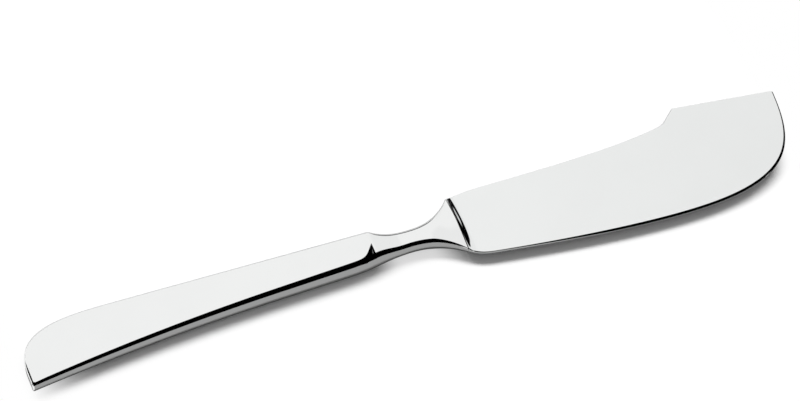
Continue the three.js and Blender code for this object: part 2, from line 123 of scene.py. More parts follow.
# Blade
HEEL_RUN = 6.2
HEEL_DEPTH = 12.25
HEEL_FULLNESS = (0.27, 0.54)
BELLY_SLOPE = 0.185
BELLY_FROM_TIP = 30.3
BELLY_DEPTH = 18.58
BELLY_FULLNESS = (0.33, 0.3)
TIP_RISE = 7.35
TIP_SLOPE = 13.8
TIP_FULLNESS = (0.835, 0.037)
NOTCH_FROM_TIP = 25.8
NOTCH_RISE = 11.45
NOTCH_RUN = 5.9
NOTCH_FOOT = 7.4
NOTCH_SLOPE = 0.9
NOTCH_HOLLOW = 2.4
NOTCH_APPROACH = 0.16
NOTCH_FULLNESS = (0.45, 0.25)
SPINE_RISE = 0.16
SPINE_RISE_FULLNESS = (0.22, 0.4)
SPINE_CREST_RUN = 9.7
SPINE_CREST = 6.75
SPINE_FALL = 0.035
SPINE_FALL_FULLNESS = (0.42, 0.24)
SPINE_THICKNESS = 1.5
EDGE_THICKNESS = 0.95
GRIND_RUN = 46.0
GRIND_ANGLE = np.radians(35)
TIP_GRIND_ANGLE = np.radians(58)
TIP_GRIND_RUN = 30.0
CUTTING_EDGE = 0.2
RIM_RUN = 6.0
RIM_ANGLE = np.radians(36)
EDGE_BREAK = 0.1

# How finely the surfaces are drawn
CURVE_STEPS = 400
SIDE_STEPS = 14
CREASE_STEPS = 6
FACE_STEPS = 32
FACE_RING = 0.08
BORE_RING = 0.02
NOSE_POINTS = 48
GRIP_POINTS = 20
FLARE_POINTS = 46
CORNER_POINTS = 12
END_POINTS = 8
ROUND_POINTS = 60
BACK_POINTS = 27
MOUTH_POINTS = 4
NECK_POINTS = 70
CROWN_POINTS = 30
SHOULDER_POINTS = 5
STEP_POINTS = 25
SPINE_POINTS = 150
NOTCH_POINTS = (25, 13, 41)
SHARP_ANGLE = np.radians(17)

MIDDLE = np.array([X_TIP / 2, (NOTCH_RISE - BELLY_DEPTH) / 2, -CREST_THICKNESS / 2])


# Outlines seen from above

def cubic(a, b, c, d, t):
    """The cubic curve with end points a and d and handles b and c, at shares t of the way."""
    return (1 - t) ** 3 * a + 3 * (1 - t) ** 2 * t * b + 3 * (1 - t) * t ** 2 * c + t ** 3 * d


def bow(start, end, leaving, arriving, fullness):
    """A cubic curve between two points, whose handles lie along the slopes it leaves and arrives in, each as
    long as a share of its run."""
    run = end[0] - start[0]
    first, last = run * fullness[0], run * fullness[1]
    a = np.array(start, float)
    d = np.array(end, float)
    b = a + first * np.array([1, leaving])
    c = d - last * np.array([1, arriving])
    t = np.linspace(0, 1, CURVE_STEPS)[:, None]
    return cubic(a, b, c, d, t)


def joined(*runs):
    """Curves end to end, each without its first point, behind the first curve's own start."""
    return np.vstack([runs[0]] + [run[1:] for run in runs[1:]])


def straight(start, end):
    return np.linspace(start, end, CURVE_STEPS)


def handle_edge_line():
    """The edge side from the butt to the shoulder: a parabola, a straight grip, a sweep to the waist and a
    flare."""
    flare = 2 * (BUTT_EDGE - GRIP_EDGE) / FLARE_LENGTH
    butt, grip = (0, -BUTT_EDGE), (FLARE_LENGTH, -GRIP_EDGE)
    sweep = (X_JOINT - SWEEP_BACK, -GRIP_EDGE)
    waist = (X_JOINT + SWEEP_FRONT, -WAIST_EDGE)
    shares = np.array([SWEEP_BACK, SWEEP_FRONT]) / (SWEEP_BACK + SWEEP_FRONT)
    return joined(
        bow(butt, grip, flare, 0, (1 / 3, 1 / 3)),
        straight(grip, sweep),
        bow(sweep, waist, 0, 0, shares),
        bow(waist, (X_SHOULDER, -SHOULDER_EDGE), 0, -SHOULDER_SLOPE, SHOULDER_FULLNESS),
    )


def handle_spine_line():
    """The spine side from the butt to the shoulder: a straight back, a small corner, the waist and a flare."""
    joint = (X_JOINT, GRIP_SPINE)
    slope = (GRIP_SPINE - BUTT_SPINE) / X_JOINT
    corner = (X_JOINT + CORNER_RUN, GRIP_SPINE - CORNER_DROP)
    waist = (X_JOINT + WAIST_RUN, WAIST_SPINE)
    return joined(
        straight((0, BUTT_SPINE), joint),
        bow(joint, corner, slope, -CORNER_SLOPE, CORNER_FULLNESS),
        bow(corner, waist, -CORNER_SLOPE, 0, WAIST_FULLNESS),
        bow(waist, (X_SHOULDER, SHOULDER_SPINE), 0, SPREAD_SLOPE, SPREAD_FULLNESS),
    )


def blade_edge_line():
    """The cutting edge from the shoulder to the tip: the heel's corner, the belly and the sweep up to the
    tip."""
    shoulder = (X_SHOULDER, -SHOULDER_EDGE)
    heel = (X_SHOULDER + HEEL_RUN, -HEEL_DEPTH)
    belly = (X_TIP - BELLY_FROM_TIP, -BELLY_DEPTH)
    return joined(
        bow(shoulder, heel, -SHOULDER_SLOPE, -BELLY_SLOPE, HEEL_FULLNESS),
        bow(heel, belly, -BELLY_SLOPE, 0, BELLY_FULLNESS),
        bow(belly, (X_TIP, TIP_RISE), 0, TIP_SLOPE, TIP_FULLNESS),
    )


def blade_spine_runs():
    """The spine's runs from the shoulder to the tip: its long bow, the hollow and wall of the notch, the tip's
    back."""
    wall_run = NOTCH_RUN - NOTCH_HOLLOW
    crest = (X_SHOULDER + SPINE_CREST_RUN, SPINE_CREST)
    top = (X_TIP - NOTCH_FROM_TIP, NOTCH_RISE)
    foot = (top[0] - NOTCH_RUN, NOTCH_FOOT)
    wall = (top[0] - wall_run, NOTCH_RISE - wall_run * NOTCH_SLOPE)
    back = joined(
        bow((X_SHOULDER, SHOULDER_SPINE), crest, SPINE_RISE, -SPINE_FALL, SPINE_RISE_FULLNESS),
        bow(crest, foot, -SPINE_FALL, NOTCH_APPROACH, SPINE_FALL_FULLNESS),
    )
    hollow = bow(foot, wall, NOTCH_APPROACH, NOTCH_SLOPE, NOTCH_FULLNESS)
    return back, hollow, straight(wall, top), straight(top, (X_TIP, TIP_RISE))


EDGE_LINE = joined(handle_edge_line(), blade_edge_line())
SPINE_LINE = joined(handle_spine_line(), *blade_spine_runs())


def edge_at(x):
    return np.interp(x, EDGE_LINE[:, 0], EDGE_LINE[:, 1])


def spine_at(x):
    return np.interp(x, SPINE_LINE[:, 0], SPINE_LINE[:, 1])


def spaced(line, count):
    """Points at even distances along a line."""
    along = np.concatenate([[0], np.cumsum(np.linalg.norm(np.diff(line, axis=0), axis=1))])
    at = np.linspace(0, along[-1], count)
    return np.stack([np.interp(at, along, line[:, k]) for k in range(2)], axis=1)


def left_of(line):
    """Unit vectors to the left of a line's direction, point by point."""
    ahead = np.gradient(line, axis=0)
    ahead /= np.linalg.norm(ahead, axis=1, keepdims=True)
    return np.stack([-ahead[:, 1], ahead[:, 0]], axis=1)


def lerp(a, b, share):
    return a + (b - a) * share


def ease(x, start, end):
    """0 before start and 1 after end, with a smooth cubic rise between."""
    t = np.clip((x - start) / (end - start), 0, 1)
    return t * t * (3 - 2 * t)


# Meshes

def place(points):
    """Millimetres along the knife to metres in the part's frame."""
    return (points.reshape(-1, 3) - MIDDLE) * 0.001


def numbered(points):
    """The index of each point in a grid of rows by columns."""
    return np.arange(points.shape[0] * points.shape[1]).reshape(points.shape[:2])


def grid_faces(index, around=False):
    """Quads between neighbouring rows and columns of an index grid, closed round the rows if asked."""
    rows = np.vstack([index, index[:1]]) if around else index
    return np.stack([rows[:-1, :-1], rows[:-1, 1:], rows[1:, 1:], rows[1:, :-1]], axis=-1).reshape(-1, 4)


def lid_faces(ring):
    """Quads across a closed ring of indices: point i from the start joins point i from the end."""
    half = len(ring) // 2
    return grid_faces(np.stack([ring[:half], ring[::-1][:half]]))


def steel_piece(name, points, faces, material, slot, *nodes):
    """A mesh from points and quads: doubles merged, faces turned outwards, smooth but for its sharp edges."""
    mesh = bpy.data.meshes.new(name)
    mesh.from_pydata(place(points), [], np.vstack(faces))
    shape = bmesh.new()
    shape.from_mesh(mesh)
    bmesh.ops.remove_doubles(shape, verts=shape.verts, dist=1e-8)
    bmesh.ops.recalc_face_normals(shape, faces=shape.faces)
    shape.to_mesh(mesh)
    shape.free()
    mesh.polygons.foreach_set("use_smooth", np.ones(len(mesh.polygons), bool))
    mesh.set_sharp_from_angle(angle=SHARP_ANGLE)
    mesh.materials.append(material)
    piece = bpy.data.objects.new(name, mesh)
    bpy.context.scene.collection.objects.link(piece)
    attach(piece, "root")
    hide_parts(*nodes)


# Sections

def side_profile(half, angle, crease):
    """A barrel side from the mid-plane up to a flat face: an arc that leaves the outline upright and turns by
    the side's angle, then a tight arc that turns on to the level. Gives inset and height, rows by points."""
    half, crease = np.broadcast_arrays(np.asarray(half, float), np.asarray(crease, float))
    radius = (half - crease * (1 - np.sin(angle))) / np.sin(angle)
    lower = np.linspace(0, angle, SIDE_STEPS + 1)[:, None]
    upper = np.linspace(angle, np.pi / 2, CREASE_STEPS + 1)[1:, None]
    inset = np.vstack([radius * (1 - np.cos(lower)),
                       radius * (1 - np.cos(angle)) + crease * (np.cos(angle) - np.cos(upper))])
    height = np.vstack([radius * np.sin(lower),
                        radius * np.sin(angle) + crease * (np.sin(upper) - np.sin(angle))])
    return inset, height


def grip_half(x):
    return lerp(BUTT_THICKNESS, CREST_THICKNESS, x / X_JOINT) / 2


NOSE_POINT = (edge_at(X_JOINT) + spine_at(X_JOINT)) / 2
NOSE_LINE = bow((X_JOINT - NOSE_LENGTH, 0), (X_JOINT, 1), 0, NOSE_SLOPE, NOSE_FULLNESS)


def grip_profile(x, y, wall):
    """The handle's side above outline points: the barrel profile, and on the edge side its upper part carried
    in to the nose's point. The nose's extra inset follows its own curve to the joint and comes in evenly up the
    height."""
    half = grip_half(x) - wall
    inset, height = side_profile(half, SIDE_ANGLE, CREASE_ROUND)
    share = height / half
    run = np.interp(x, NOSE_LINE[:, 0], NOSE_LINE[:, 1])
    reach = np.maximum(NOSE_POINT - y - wall - inset[-1], 0)
    climb = np.clip((share - NOSE_FOOT) / (1 - NOSE_FOOT), 0, 1)
    return wall + inset + reach * run * climb, share


def butt_round(t):
    """Points on the butt's large corner: a cubic curve that leaves the square end upwards and arrives along the
    spine side."""
    x_arrive = BUTT_ROUND * (1 - BUTT_FULLNESS[1])
    y_spine, y_arrive = spine_at(np.array([BUTT_ROUND, x_arrive]))
    a = np.array([0, -BUTT_FOOT])
    b = np.array([0, lerp(-BUTT_FOOT, y_spine, BUTT_FULLNESS[0])])
    c = np.array([x_arrive, y_arrive])
    d = np.array([BUTT_ROUND, y_spine])
    return cubic(a, b, c, d, t)


def grip_rim():
    """Points round the handle: from the mouth back along the edge side, round the butt's small corner, up its
    square end, round its large corner and forward along the spine side to the mouth. With each come the
    directions in which the barrel side and the square end draw in above it, one blending into the other round
    the butt."""
    nose = np.linspace(X_MOUTH, X_JOINT - NOSE_LENGTH, NOSE_POINTS)
    grip = np.concatenate([nose, np.linspace(nose[-1], FLARE_LENGTH, GRIP_POINTS)[1:]])
    flare = np.linspace(FLARE_LENGTH, BUTT_CORNER, FLARE_POINTS)[1:]
    x_edge = np.concatenate([grip, flare])
    edge = np.stack([x_edge, edge_at(x_edge)], axis=1)
    turn = np.linspace(1.5 * np.pi, np.pi, CORNER_POINTS)[1:, None]
    corner = np.array([BUTT_CORNER, edge[-1, 1] + BUTT_CORNER])
    small = corner + BUTT_CORNER * np.hstack([np.cos(turn), np.sin(turn)])
    large = butt_round(np.linspace(0, 1, ROUND_POINTS)[:, None])
    end = straight(small[-1], large[0])[:: CURVE_STEPS // END_POINTS][1:]
    x_spine = np.concatenate([np.linspace(large[-1, 0], nose[-1], BACK_POINTS)[1:], nose[::-1][1:]])
    spine = np.stack([x_spine, spine_at(x_spine)], axis=1)
    level, upright = np.array([[1, 0]]), np.array([[0, 1]])
    across, turned = -left_of(large), ease(np.linspace(0, 1, len(large)), 0, END_TURN)[:, None]
    down_end = np.linspace(1, 0, len(end) + 2)[1:-1, None]
    near_end = 1 - ease(edge[:, :1], BUTT_CORNER, END_BLEND)
    side = [upright + 0 * edge, upright + 0 * small, upright * down_end, across * turned, 0 * spine - upright]
    square = [level * near_end, level + 0 * small, level + 0 * end, across * (1 - turned), 0 * spine]
    return np.vstack([edge, small, end, large, spine]), np.vstack(side), np.vstack(square)


RIM, RIM_SIDE, RIM_SQUARE = grip_rim()


def grip_rings(wall, top):
    """The handle's side as rings of points over the rim, a wall's depth inside the outer form: the barrel along
    the sides, and at the butt's end an upright wall with a quarter round at its top. The heights are shares of
    the handle's own thickness where each point lies, so the broad face stays flat. A last ring lies on it."""
    inset, share = grip_profile(RIM[:, 0], RIM[:, 1], wall)
    rise = np.clip(END_ROUND - (1 - share) * (grip_half(RIM[:, 0]) - wall), 0, END_ROUND)
    drawn = wall + END_ROUND - np.sqrt(END_ROUND ** 2 - rise ** 2)
    inset, drawn = (np.vstack([rows, rows[-1] + top]) for rows in (inset, drawn))
    share = np.vstack([share, share[-1]])
    flat = RIM + RIM_SIDE * inset[..., None] + RIM_SQUARE * drawn[..., None]
    height = share * (grip_half(flat[..., 0]) - wall)
    height[0] = SEAM_BRAZE / 2
    return np.concatenate([flat, height[..., None]], axis=-1)


def handle_shell(name, side, material):
    """Half of the hollow handle: one profile, from the inner broad face down to the seam and up to the outer
    face, carried round the rim, with a lid over each face and a ribbon round the mouth."""
    points = np.concatenate([grip_rings(SHELL_WALL, BORE_RING)[::-1], grip_rings(0, FACE_RING)])
    points = points * np.array([1, 1, side])
    index = numbered(points)
    half = len(index) // 2
    inner, outer = index[:half][::-1], index[half:]
    mouth = np.stack([np.concatenate([ring[:, 0], ring[::-1, -1]]) for ring in (inner, outer)])
    faces = [grid_faces(index), lid_faces(inner[-1]), lid_faces(outer[-1]), grid_faces(mouth)]
    node = "upper_handle_shell" if side > 0 else "lower_handle_shell"
    steel_piece(name, points, faces, material, "polished_steel", node)


def seam_strip(material):
    """The brazed seam: a square strip of the shells' wall, carried round the rim."""
    inner = RIM + (RIM_SIDE + RIM_SQUARE) * SHELL_WALL
    level = np.full((len(RIM), 1), SEAM_BRAZE / 2)
    rows = [(RIM, -level), (RIM, level), (inner, level), (inner, -level)]
    points = np.stack([np.hstack(row) for row in rows])
    index = np.arange(4 * len(RIM)).reshape(4, -1)
    faces = [grid_faces(index, around=True), index[:, 0][None], index[:, -1][None]]
    steel_piece("seam_line", points, faces, material, "silver_braze", "handle_seam_braze")


def whole_ring(edge, spine):
    """Section points from the upper half's two sides, each running up from the mid-plane: edge side, spine
    side, then the lower half mirrored. Arrays of rows by stations by three."""
    upper = np.concatenate([edge, spine[::-1]])
    return np.concatenate([upper, upper[::-1] * np.array([1, 1, -1])])


def grip_section(x, wall):
    """The handle's form cut square across at stations x."""
    sides = []
    for line, inward in ((edge_at(x), 1), (spine_at(x), -1)):
        inset, share = grip_profile(x, line, wall)
        inset, share = np.vstack([inset, inset[-1] + FACE_RING]), np.vstack([share, share[-1]])
        height = share * (grip_half(x) - wall)
        sides.append(np.stack([np.broadcast_to(x, inset.shape), line + inward * inset, height], axis=-1))
    return whole_ring(*sides)


def mouth_ring(material):
    """The brazed joint between the shells and the neck: the handle's section over the joint's width, and its
    bore."""
    outer = grip_section(np.linspace(X_MOUTH, X_JOINT, MOUTH_POINTS), 0)
    bore = grip_section(np.array([X_JOINT]), SHELL_WALL)
    ends = np.concatenate([bore, bore], axis=1)
    ends[:, 0, 0], ends[:, 1, 0] = X_JOINT, X_MOUTH
    points = np.concatenate([outer, ends], axis=1)
    index = numbered(points)
    faces = [grid_faces(np.hstack([index, index[:, :1]]), around=True)]
    steel_piece("mouth_line", points, faces, material, "silver_braze", "mouth_braze")


def blade_half(y):
    return lerp(EDGE_THICKNESS, SPINE_THICKNESS, (y + BELLY_DEPTH) / (SPINE_CREST + BELLY_DEPTH)) / 2


def neck_half(x, collar):
    """Half the neck's thickness: a smooth fall from the handle's own at the joint to an even one, and a
    parabola from there to the thickness of the collar at the shoulder."""
    even = lerp(CREST_THICKNESS, NECK_THICKNESS, ease(x, X_JOINT, X_JOINT + NECK_FALL))
    climb = np.clip((x - X_SHOULDER) / COLLAR_RUN + 1, 0, 1) ** 2
    return lerp(even, collar, climb) / 2


def step_left(x):
    """What is left of the step's height at x: 1, then a round that falls as the square of the run, a hollow
    that comes in as the square of what is left, and 0."""
    slope = 1 / (STEP_ROUND + STEP_FILLET)
    top = 1 - slope * np.clip(x - X_STEP_TOP, 0, None) ** 2 / STEP_ROUND
    foot = slope * np.clip(X_STEP_FOOT - x, 0, None) ** 2 / STEP_FILLET
    return np.where(x < X_STEP, top, foot)


def edge_rim_half(x):
    """Half the neck's thickness at the edge's crease: it falls to the middle of the step as a power of the
    run."""
    fall = np.clip((x - X_STEP) / EDGE_FALL + 1, 0, 1) ** EDGE_FALL_POWER
    return lerp(neck_half(x, COLLAR_THICKNESS), EDGE_RIM / 2, fall)


def edge_half(x, y):
    """Half the thickness at the edge's crease: the neck's own, lowered to the blade by the step."""
    return lerp(blade_half(y), edge_rim_half(x), step_left(x))


def spine_half(x, y):
    """Half the thickness at the spine's crease: the neck's own, lowered to the blade by the step."""
    return lerp(blade_half(y), neck_half(x, SPINE_RIM), step_left(x))


def crowned_face(x, edge, spine):
    """The face between two creases, rows by stations by three: level where the neck is flat, falling in long
    gentle slopes to the creases where these lie lower, and lowered to the blade by the step."""
    share = np.linspace(0, 1, FACE_STEPS + 1)[1:-1, None, None]
    face = lerp(edge, spine, share)
    to_edge = np.clip(1 - share[..., 0] / EDGE_REACH, 0, 1) ** EDGE_REACH_POWER
    to_spine = np.clip(1 - (1 - share[..., 0]) / SPINE_REACH, 0, 1) ** SPINE_REACH_POWER
    full = neck_half(x, COLLAR_THICKNESS)
    crest = full - (full - edge_rim_half(x)) * to_edge - (full - neck_half(x, SPINE_RIM)) * to_spine
    level = blade_half(face[..., 1])
    face[..., 2] = level + (crest - level) * step_left(x)
    return face


def neck_section(x):
    """The neck cut square across at stations x: barrel sides that fall to the blade's thickness at the
    shoulder, slowly on the edge side and over the step on the spine side, which has a softer crease along the
    waist, and the crowned face between them."""
    crown = ease(x, X_CROWN, X_SHOULDER)
    soft = ease(x, X_JOINT, X_JOINT + BACK_ROUND_START)
    soft = soft * (1 - ease(x, X_CROWN - BACK_ROUND_FADE, X_CROWN - BACK_ROUND_END))
    sides = []
    edge, spine = edge_at(x), spine_at(x)
    for line, inward, half, crease in ((edge, 1, edge_half(x, edge), CREASE_ROUND),
                                       (spine, -1, spine_half(x, spine), lerp(CREASE_ROUND, BACK_ROUND, soft))):
        inset, height = side_profile(half, SIDE_ANGLE, lerp(crease, CROWN_CREASE, crown))
        sides.append(np.stack([np.broadcast_to(x, inset.shape), line + inward * inset, height], axis=-1))
    edge = np.concatenate([sides[0], crowned_face(x, sides[0][-1], sides[1][-1])])
    return whole_ring(edge, sides[1])


def neck_piece(name, stations, material, slot, node):
    points = neck_section(stations)
    index = numbered(points)
    faces = [grid_faces(index, around=True), lid_faces(index[:, 0]), lid_faces(index[:, -1])]
    steel_piece(name, points, faces, material, slot, node)


def blade_rims():
    """Outline points of the blade in pairs, from the shoulder to the tip: square across over the step, then at
    even distances along the edge and along each run of the spine."""
    step = np.linspace(X_SHOULDER, X_STEP_FOOT, STEP_POINTS)
    edge = blade_edge_line()
    back, *notch = blade_spine_runs()
    after = lambda line: np.vstack([[[X_STEP_FOOT, np.interp(X_STEP_FOOT, line[:, 0], line[:, 1])]],
                                    line[line[:, 0] > X_STEP_FOOT]])
    spine = [spaced(after(back), SPINE_POINTS)] + [spaced(run, n)[1:] for run, n in zip(notch, NOTCH_POINTS)]
    spine = np.vstack(spine)
    edge = spaced(after(edge), len(spine))
    root = [np.stack([step, line(step)], axis=1)[:-1] for line in (edge_at, spine_at)]
    return np.vstack([root[0], edge]), np.vstack([root[1], spine])


def blade_edge_side(rim, inward):
    """The edge's side, rows by points by three: an upright round up to the rim's own height, then the ground
    bevel up to the face. The rim is the blade's whole thickness at the shoulder and thins along the edge as the
    grind goes deeper."""
    half = edge_half(rim[:, 0], rim[:, 1])
    rim_half = lerp(half, CUTTING_EDGE / 2, ease(rim[:, 0], X_SHOULDER, X_SHOULDER + GRIND_RUN))
    round_angle = lerp(SIDE_ANGLE, RIM_ANGLE, ease(rim[:, 0], X_SHOULDER, X_SHOULDER + RIM_RUN))
    grind = lerp(GRIND_ANGLE, TIP_GRIND_ANGLE, ease(rim[:, 1], TIP_RISE - TIP_GRIND_RUN, TIP_RISE))
    angles = round_angle * np.linspace(0, 1, SIDE_STEPS + 1)[:, None]
    rise = np.linspace(0, 1, CREASE_STEPS + 1)[1:, None]
    radius = rim_half / np.sin(round_angle)
    bevel = (half - rim_half) / np.tan(grind)
    inset = np.vstack([radius * (1 - np.cos(angles)), radius * (1 - np.cos(round_angle)) + bevel * rise])
    share = np.vstack([radius * np.sin(angles), lerp(rim_half, half, rise)]) / half
    flat = rim[None] + inward[None] * inset[..., None]
    flat[:, -1] = rim[-1] - inset[:, -1:] * np.array([1, EDGE_BREAK / inset[-1, -1]])
    return np.concatenate([flat, (share * edge_half(rim[:, 0], flat[-1, :, 1]))[..., None]], axis=-1)


def blade_spine_side(rim, inward):
    """The spine's side: the neck's barrel, which turns into a flat wall with a small chamfer."""
    half = spine_half(rim[:, 0], rim[:, 1])
    turned = ease(rim[:, 0], X_SHOULDER, X_SHOULDER + RIM_RUN)
    rows = np.linspace(0, 1, SIDE_STEPS + CREASE_STEPS + 1)[:, None]
    angles = SIDE_ANGLE * rows
    chamfer = np.where(rows == 1, EDGE_BREAK, 0)
    inset = lerp(half * (1 - np.cos(angles)) / np.sin(SIDE_ANGLE), chamfer, turned)
    wall = np.where(rows == 1, 1, rows * (1 - EDGE_BREAK / half))
    share = lerp(np.sin(angles) / np.sin(SIDE_ANGLE), wall, turned)
    flat = rim[None] + inward[None] * inset[..., None]
    return np.concatenate([flat, (share * spine_half(rim[:, 0], flat[-1, :, 1]))[..., None]], axis=-1)


def blade_leaf(material):
    """The blade from the shoulder to the tip. Across each pair of rim points run the edge's side, the flat face
    with the foot of the step on it, and the spine's side, and both sides meet at the tip; the lower half is
    mirrored."""
    edge_rim, spine_rim = blade_rims()
    edge = blade_edge_side(edge_rim, left_of(edge_rim))
    spine = blade_spine_side(spine_rim, -left_of(spine_rim))
    spine[:, -1] = edge[:, -1]
    face = crowned_face(edge_rim[:, 0], edge[-1], spine[-1])
    points = whole_ring(np.concatenate([edge, face]), spine)
    index = numbered(points)
    faces = [grid_faces(index, around=True), lid_faces(index[:, 0])]
    steel_piece("blade_leaf", points, faces, material, "ground_steel", "blade")


# Shaders

class Field:
    """A shader socket. Sums and products of fields and numbers add Math nodes to its tree."""

    def __init__(self, tree, socket=None):
        self.tree = tree
        self.socket = socket

    def node(self, kind, settings, inputs, output=0):
        """A new node: its settings are set first, then each input gets its value or a link from its field."""
        made = self.tree.nodes.new(kind)
        for name, value in settings.items():
            setattr(made, name, value)
        for key, value in inputs.items():
            if isinstance(value, Field):
                self.tree.links.new(value.socket, made.inputs[key])
            else:
                made.inputs[key].default_value = value
        return Field(self.tree, made.outputs[output] if made.outputs else None)

    def other(self, output):
        """Another output of the node that this field comes from."""
        return Field(self.tree, self.socket.node.outputs[output])

    def maths(self, operation, *values):
        return self.node("ShaderNodeMath", {"operation": operation}, dict(enumerate(values)))

    def ramp(self, start, end):
        """0 before start and 1 after end, with a smooth rise between."""
        return self.node("ShaderNodeMapRange", {"interpolation_type": "SMOOTHSTEP"},
                         {"Value": self, "From Min": start, "From Max": end})

    def blend(self, share, first, second):
        """One colour passing into another."""
        colours = {"Factor": share, "A": (*first, 1), "B": (*second, 1)}
        return self.node("ShaderNodeMix", {"data_type": "RGBA"}, colours, "Result")

    def __add__(self, other):
        return self.maths("ADD", self, other)

    def __sub__(self, other):
        return self.maths("SUBTRACT", self, other)

    def __rsub__(self, other):
        return self.maths("SUBTRACT", other, self)

    def __mul__(self, other):
        return self.maths("MULTIPLY", self, other)

    __radd__ = __add__
    __rmul__ = __mul__


def new_tree(owner):
    owner.use_nodes = True
    owner.node_tree.nodes.clear()
    return Field(owner.node_tree)


def steel(name, colour, clear, haze, lines):
    """Polished steel: a mirror with faint clouds left by the polishing wheel, which change its colour and
    roughness a little, and hairlines along the handle or across the blade, far too shallow to break the
    reflection."""
    material = bpy.data.materials.new(name)
    tree = new_tree(material)
    at = tree.node("ShaderNodeTexCoord", {}, {}, "Object")
    drawn = tree.node("ShaderNodeMapping", {}, {"Vector": at, "Scale": lines})
    hairs = tree.node("ShaderNodeTexNoise", {}, {"Vector": drawn, "Scale": 1.0, "Detail": 4.0, "Roughness": 0.6})
    clouds = tree.node("ShaderNodeTexNoise", {}, {"Vector": at, "Scale": 55.0, "Detail": 3.0, "Roughness": 0.55})
    tint = tree.blend(clouds.ramp(0.3, 0.7), [0.985 * c for c in colour], colour)
    polish = clear + haze * clouds.ramp(0.35, 0.75) + 0.35 * haze * hairs
    bump = tree.node("ShaderNodeBump", {}, {"Height": hairs, "Strength": 0.012, "Distance": 0.0001})
    surface = tree.node("ShaderNodeBsdfPrincipled", {},
                        {"Base Color": tint, "Metallic": 1.0, "Roughness": polish, "Normal": bump})
    tree.node("ShaderNodeOutputMaterial", {}, {"Surface": surface})
    return material


def cement():
    """Set cement inside the handle: a dull grain of two warm greys with small pits."""
    material = bpy.data.materials.new("handle_cement")
    tree = new_tree(material)
    at = tree.node("ShaderNodeTexCoord", {}, {}, "Object")
    grain = tree.node("ShaderNodeTexNoise", {}, {"Vector": at, "Scale": 900.0, "Detail": 6.0, "Roughness": 0.7})
    pits = tree.node("ShaderNodeTexVoronoi", {}, {"Vector": at, "Scale": 1400.0})
    tint = tree.blend(grain.ramp(0.3, 0.7), (0.34, 0.31, 0.27), (0.5, 0.46, 0.41))
    bump = tree.node("ShaderNodeBump", {}, {"Height": grain + 0.5 * pits, "Strength": 0.4, "Distance": 0.0002})
    surface = tree.node("ShaderNodeBsdfPrincipled", {},
                        {"Base Color": tint, "Roughness": 0.8 + 0.15 * grain, "Normal": bump})
    tree.node("ShaderNodeOutputMaterial", {}, {"Surface": surface})
    return material


# Camera
VIEW_AZIMUTH = np.radians(-21.25)
VIEW_ELEVATION = np.radians(55.5)
VIEW_DISTANCE = 0.98201
VIEW_POINT = np.array([101.085, 10.5, 0.0])
VIEW_END = 50
LENS_LENGTH = 180
SENSOR_WIDTH = 36

# Floor: painted shade in the steel, painted light lifting the shadow, and the runs in metres over which they
# change
FLOOR_SIZE = 6.0
FLOOR_WHITE = 0.99
# Painted shade: the floor's tones as the steel mirrors it, in front, behind and beyond the tip
PAINTED_SHADE_NEAR = 0.36
PAINTED_SHADE_BEHIND = 0.75
PAINTED_SHADE_RIGHT = 0.03
GREY_START = (0.01, 0.02)
DARK_START = (0.02, 0.04)
WHITE_LEFT = 0.001
DARK_RIGHT = (0.012, 0.002)
# Painted light: where the floor glows white to the camera and lifts the knife's shadow, past the butt, the tip
# and at the waist
PAINTED_LIGHT_BUTT = (0.003, 0.023)
PAINTED_LIGHT_TIP = (0.01, 0.002)
PAINTED_LIGHT_WAIST = ((0.088, 0.096), (0.103, 0.113))
PAINTED_LIGHT_WAIST_SHARE = 0.6
WHITE_FAR = (0.13, 0.2)

# Room: its tones, and the runs of direction over which each part fades
AMBIENT = 0.3
CLOTH_FRONT = (-0.24, -0.14)
CLOTH_FOOT = (0.34, 0.46)
CLOTH_RIGHT = (0.5, 0.6)
CLOTH_LEFT = (-0.6, -0.4)
LEFT_RISE = (-0.42, -0.3)
LEFT_LIFT = 0.74
LEFT_DROP = 0.36
CLOTH_FADE = 0.06
FADE_RIGHT = (0, 0.11)
RIGHT_WALL = ((0.1, 0.25), (0.79, 0.87))
LEFT_WALL = ((0.7, 0.82), (-0.38, -0.32))
FRONT_WALLS = 0.8
FRONT_WALL_TOP = (0.35, 0.5)
BACK_WALL = 0.15
BACK_WALL_FRONT = (-0.86, -0.78)
BACK_WALL_RIGHT = (0.4, 0.46)
BACK_WALL_TOP = (0.27, 0.33)

# Lamp
LAMP_ELEVATION = np.radians(65)
LAMP_DISTANCE = 1.5
LAMP_WIDTH = 2.0
LAMP_DEPTH = 0.4
LAMP_POWER = 24.0


